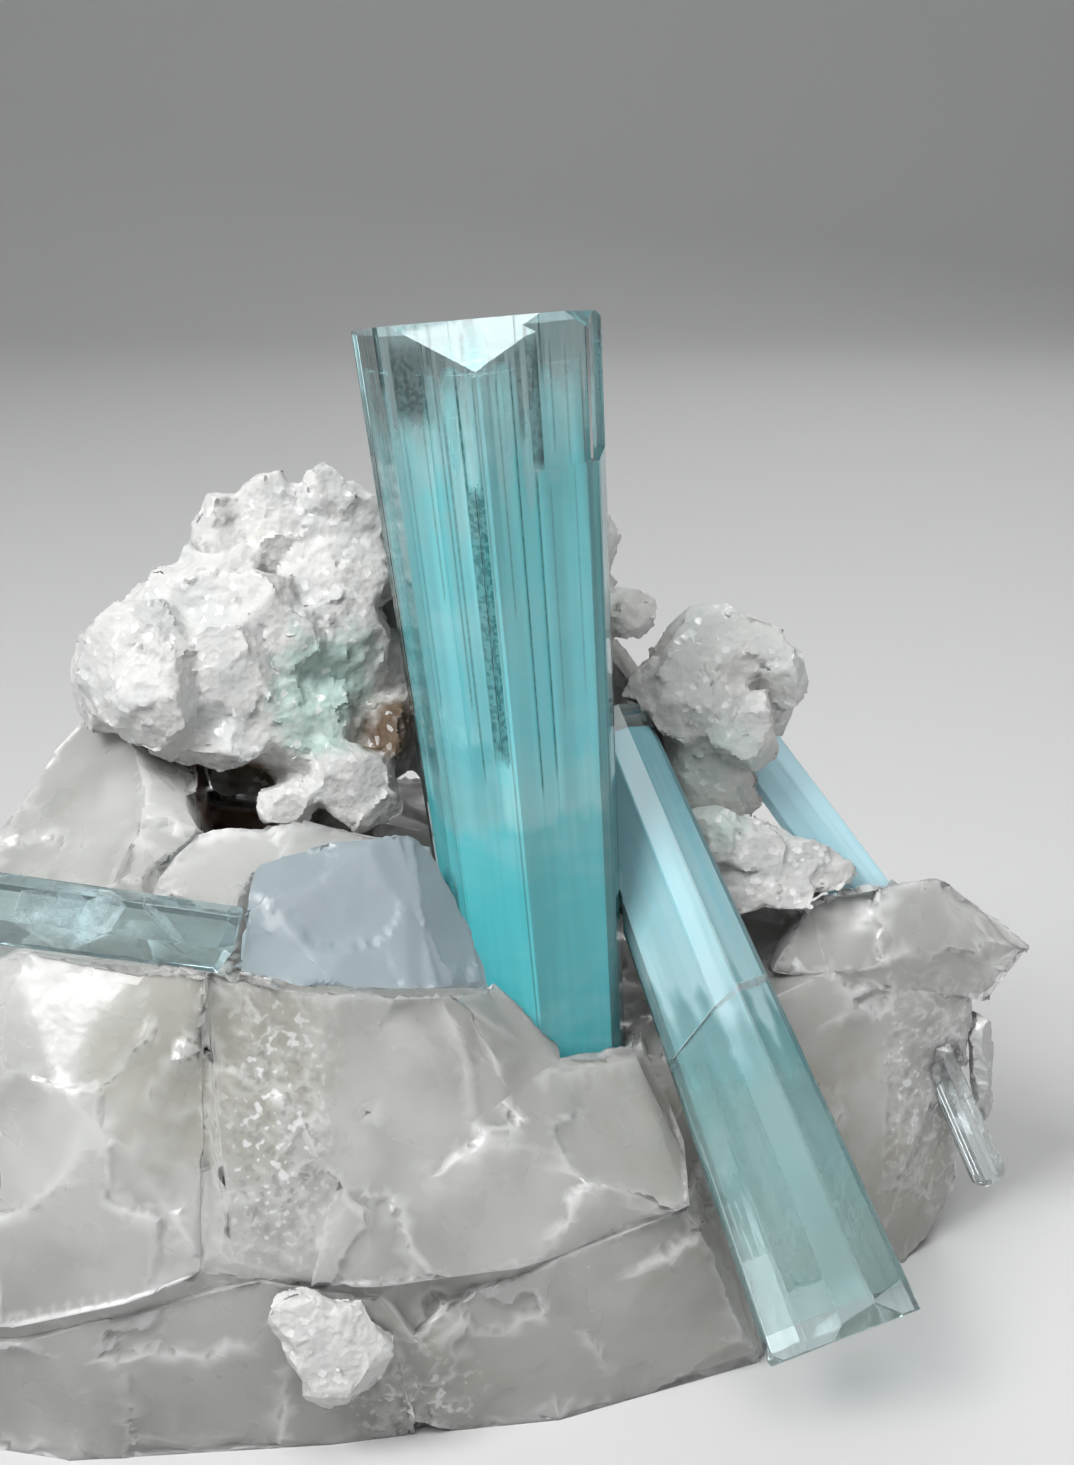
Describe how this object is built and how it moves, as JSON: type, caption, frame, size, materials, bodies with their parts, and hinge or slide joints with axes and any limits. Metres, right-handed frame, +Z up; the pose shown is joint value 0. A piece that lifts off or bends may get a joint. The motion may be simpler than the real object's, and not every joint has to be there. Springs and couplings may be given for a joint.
{
  "type": "aquamarine crystal specimen",
  "caption": "Tall blue aquamarine prism with smaller crystals on milky quartz, crested with rough white albite, resting on a flat base.",
  "frame": {"origin": "a point on the flat underside of the quartz, below the back of the tall crystal's foot", "axes": "+Z up out of the flat underside, +X to the viewer's right as pictured and along the specimen's length, -Y towards the viewer"},
  "size_m": [0.1317, 0.0767, 0.1167],
  "materials": {
    "aquamarine": "clear blue-green beryl, glassy faces with lengthwise striations, cloudier towards the root",
    "pale_beryl": "very pale blue beryl, glassy, with white veils inside",
    "quartz": "milky grey-white quartz, glassy broken faces, translucent at the edges",
    "albite": "matt white albite with a rough sugary surface"
  },
  "bodies": {
    "root": {"main_crystal": "aquamarine", "leaning_crystal": "aquamarine", "left_crystal": "pale_beryl", "back_crystal": "pale_beryl", "small_crystal": "pale_beryl", "beryl_fragment": "pale_beryl", "quartz_matrix": "quartz", "albite_crest": "albite", "albite_foot": "albite", "albite_chip": "albite", "albite_edge": "albite"}
  },
  "joints": []
}
